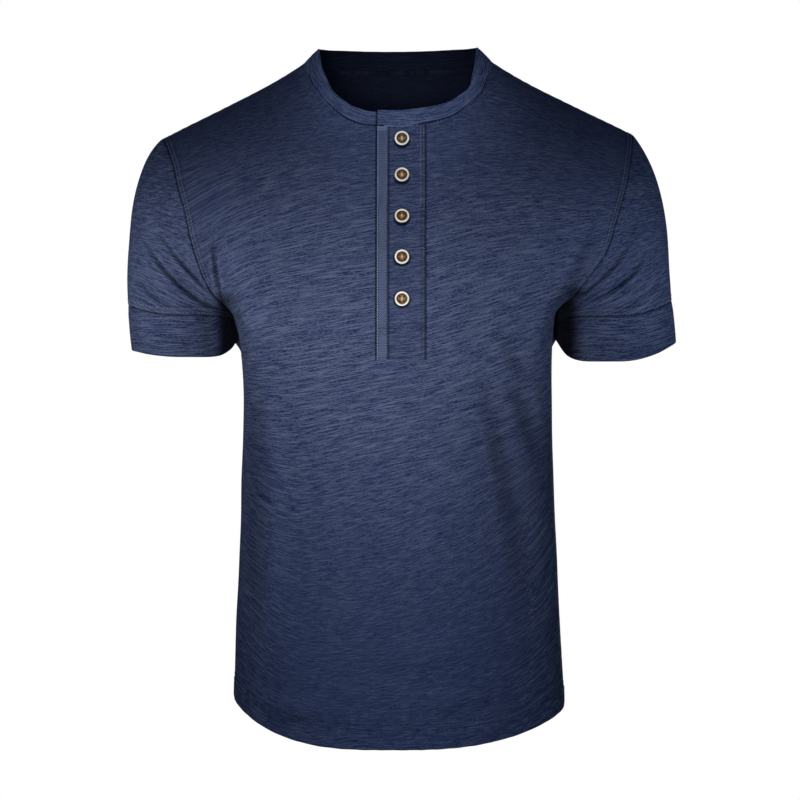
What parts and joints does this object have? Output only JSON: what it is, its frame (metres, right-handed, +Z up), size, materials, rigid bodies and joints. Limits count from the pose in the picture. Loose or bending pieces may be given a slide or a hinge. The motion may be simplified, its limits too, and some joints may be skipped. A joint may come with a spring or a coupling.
{
  "type": "henley t-shirt",
  "caption": "Short-sleeved henley T-shirt in slub jersey, filled out as worn, with banded neck and sleeves, a buttoned half placket with a taped edge, and a curved hem.",
  "frame": {"origin": "midway between the two neck points, where the shoulder seams meet the neckband, 2 mm under the line that joins them: the wearer's shoulders hold the garment there", "axes": "+Z up; the wearer faces -Y; the wearer's left side is at +X"},
  "size_m": [0.5624, 0.2389, 0.7085],
  "materials": {
    "slub_jersey": "matt navy slub jersey",
    "band_jersey": "matt navy jersey, folded double",
    "twill_tape": "matt grey-blue twill tape",
    "button_resin": "polished, mottled brown with a cream rim"
  },
  "bodies": {
    "root": {"front": "slub_jersey", "back": "slub_jersey", "sleeve_right": "slub_jersey", "sleeve_left": "slub_jersey", "cuff_right": "band_jersey", "cuff_left": "band_jersey", "neckband": "band_jersey", "placket_top": "band_jersey", "placket_under": "band_jersey", "placket_tape": "twill_tape", "button_1": "button_resin", "button_2": "button_resin", "button_3": "button_resin", "button_4": "button_resin", "button_5": "button_resin"}
  },
  "joints": []
}
